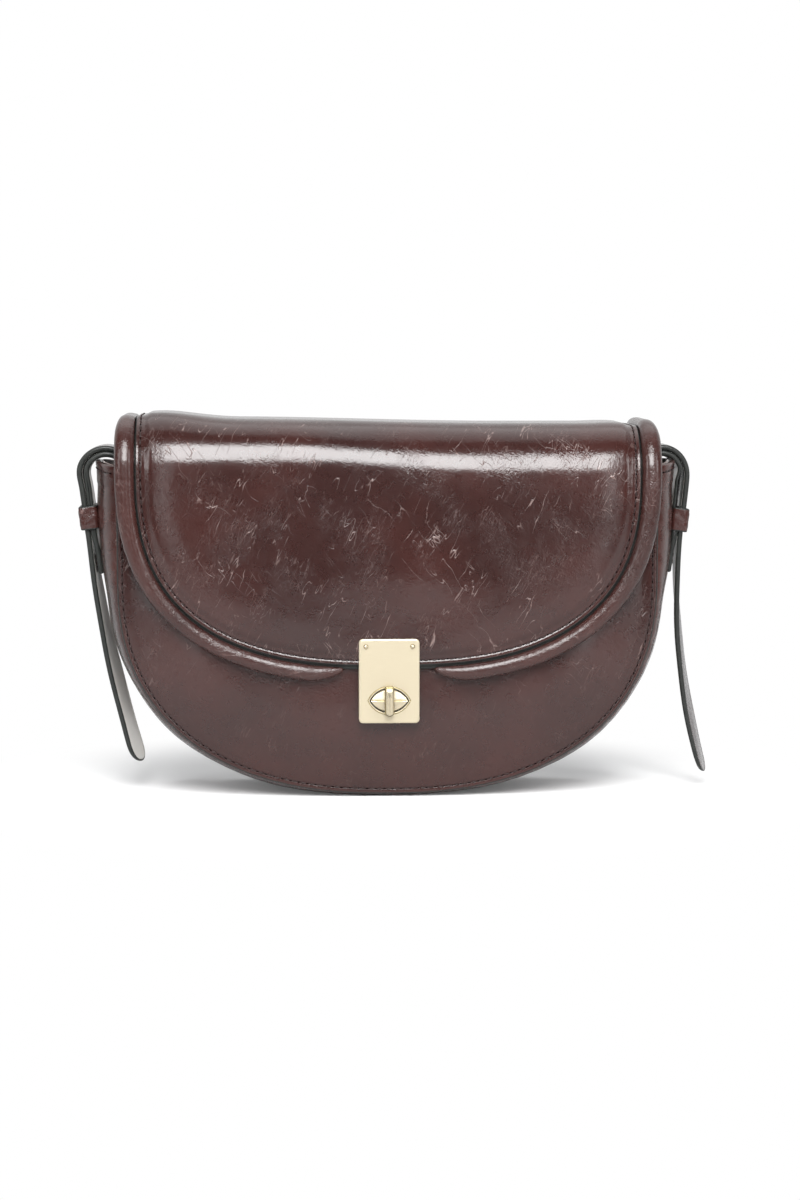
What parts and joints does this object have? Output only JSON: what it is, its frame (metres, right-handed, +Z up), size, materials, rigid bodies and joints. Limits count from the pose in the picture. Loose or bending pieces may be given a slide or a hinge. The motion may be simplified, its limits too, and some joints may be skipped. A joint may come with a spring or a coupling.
{
  "type": "saddle handbag",
  "caption": "Half-moon leather shoulder bag with a padded-edge flap, a turn lock and strap ends that hang outside through leather keepers.",
  "frame": {"origin": "on the floor, in the middle of the bag's base", "axes": "+X along the bag to its right as seen from the front, +Y from the front to the back, +Z up"},
  "size_m": [0.2764, 0.0748, 0.166],
  "materials": {
    "glazed_leather": "dark burgundy-brown glazed leather with fine crinkles, semi-gloss",
    "gusset_leather": "smooth dark red-brown leather, semi-gloss",
    "keeper_leather": "crinkled brown leather, semi-gloss",
    "lining_leather": "soft brown lining leather, matte",
    "stiffener": "grey fibre stiffening board, matte",
    "thread": "dark brown bonded thread",
    "filler_cord": "pale twisted filler cord",
    "pale_gold": "polished pale gold plating",
    "lock_steel": "plain nickel-grey steel"
  },
  "bodies": {
    "bag": {"front_panel": "glazed_leather", "front_board": "stiffener", "front_lining": "lining_leather", "front_stitching": "thread", "back_panel": "glazed_leather", "back_board": "stiffener", "back_lining": "lining_leather", "back_stitching": "thread", "gusset": "gusset_leather", "gusset_lining": "lining_leather", "lock_base": "pale_gold", "lock_washer": "lock_steel", "tab_left": "glazed_leather", "tab_right": "glazed_leather", "tab_stitching_left": "thread", "tab_stitching_right": "thread", "buckle_left": "pale_gold", "buckle_right": "pale_gold", "shoulder_strap": "glazed_leather"},
    "flap_top": {"flap_panel_top": "glazed_leather", "flap_base_top": "glazed_leather", "flap_lining_top": "lining_leather", "flap_roll_top": "glazed_leather", "flap_cord_top": "filler_cord", "flap_stitching_top": "thread"},
    "flap_front": {"flap_panel_front": "glazed_leather", "flap_base_front": "glazed_leather", "flap_lining_front": "lining_leather", "flap_roll_front": "glazed_leather", "flap_cord_front": "filler_cord", "flap_stitching_front": "thread", "lock_plate": "pale_gold", "lock_back_plate": "lock_steel", "plate_pins": "pale_gold"},
    "knob": {"turn_knob": "pale_gold", "knob_clip": "lock_steel"},
    "tail_left": {"tail_left": "glazed_leather"},
    "tail_right": {"tail_right": "glazed_leather"},
    "keeper_left": {"keeper_left": "keeper_leather"},
    "keeper_right": {"keeper_right": "keeper_leather"},
    "prong_left": {"prong_left": "pale_gold"},
    "prong_right": {"prong_right": "pale_gold"}
  },
  "joints": [
    {"name": "flap_hinge", "type": "hinge", "parent": "bag", "child": "flap_top", "pos_m": [0, 0.0306, 0.148], "axis": [-1, 0, 0], "range_deg": [0, 150]},
    {"name": "flap_fold", "type": "hinge", "parent": "flap_top", "child": "flap_front", "pos_m": [0, -0.0354, 0.142], "axis": [-1, 0, 0], "range_deg": [0, 85]},
    {"name": "knob_turn", "type": "hinge", "parent": "bag", "child": "knob", "pos_m": [0, -0.04, 0.0429], "axis": [0, 1, 0], "range_deg": [0, 90]},
    {"name": "tail_left_swing", "type": "hinge", "parent": "bag", "child": "tail_left", "pos_m": [-0.13055, 0, 0.11177], "axis": [0, 1, 0], "range_deg": [0, 60]},
    {"name": "tail_right_swing", "type": "hinge", "parent": "bag", "child": "tail_right", "pos_m": [0.13055, 0, 0.11177], "axis": [0, -1, 0], "range_deg": [0, 60]},
    {"name": "keeper_left_slide", "type": "slide", "parent": "bag", "child": "keeper_left", "axis": [-0.1201, 0, 0.9928], "range_m": [0, 0.005]},
    {"name": "keeper_right_slide", "type": "slide", "parent": "bag", "child": "keeper_right", "axis": [0.1201, 0, 0.9928], "range_m": [0, 0.005]},
    {"name": "prong_left_turn", "type": "hinge", "parent": "bag", "child": "prong_left", "pos_m": [-0.1149, 0, 0.124], "axis": [0, -1, 0], "range_deg": [0, 10]},
    {"name": "prong_right_turn", "type": "hinge", "parent": "bag", "child": "prong_right", "pos_m": [0.1149, 0, 0.124], "axis": [0, 1, 0], "range_deg": [0, 10]}
  ]
}
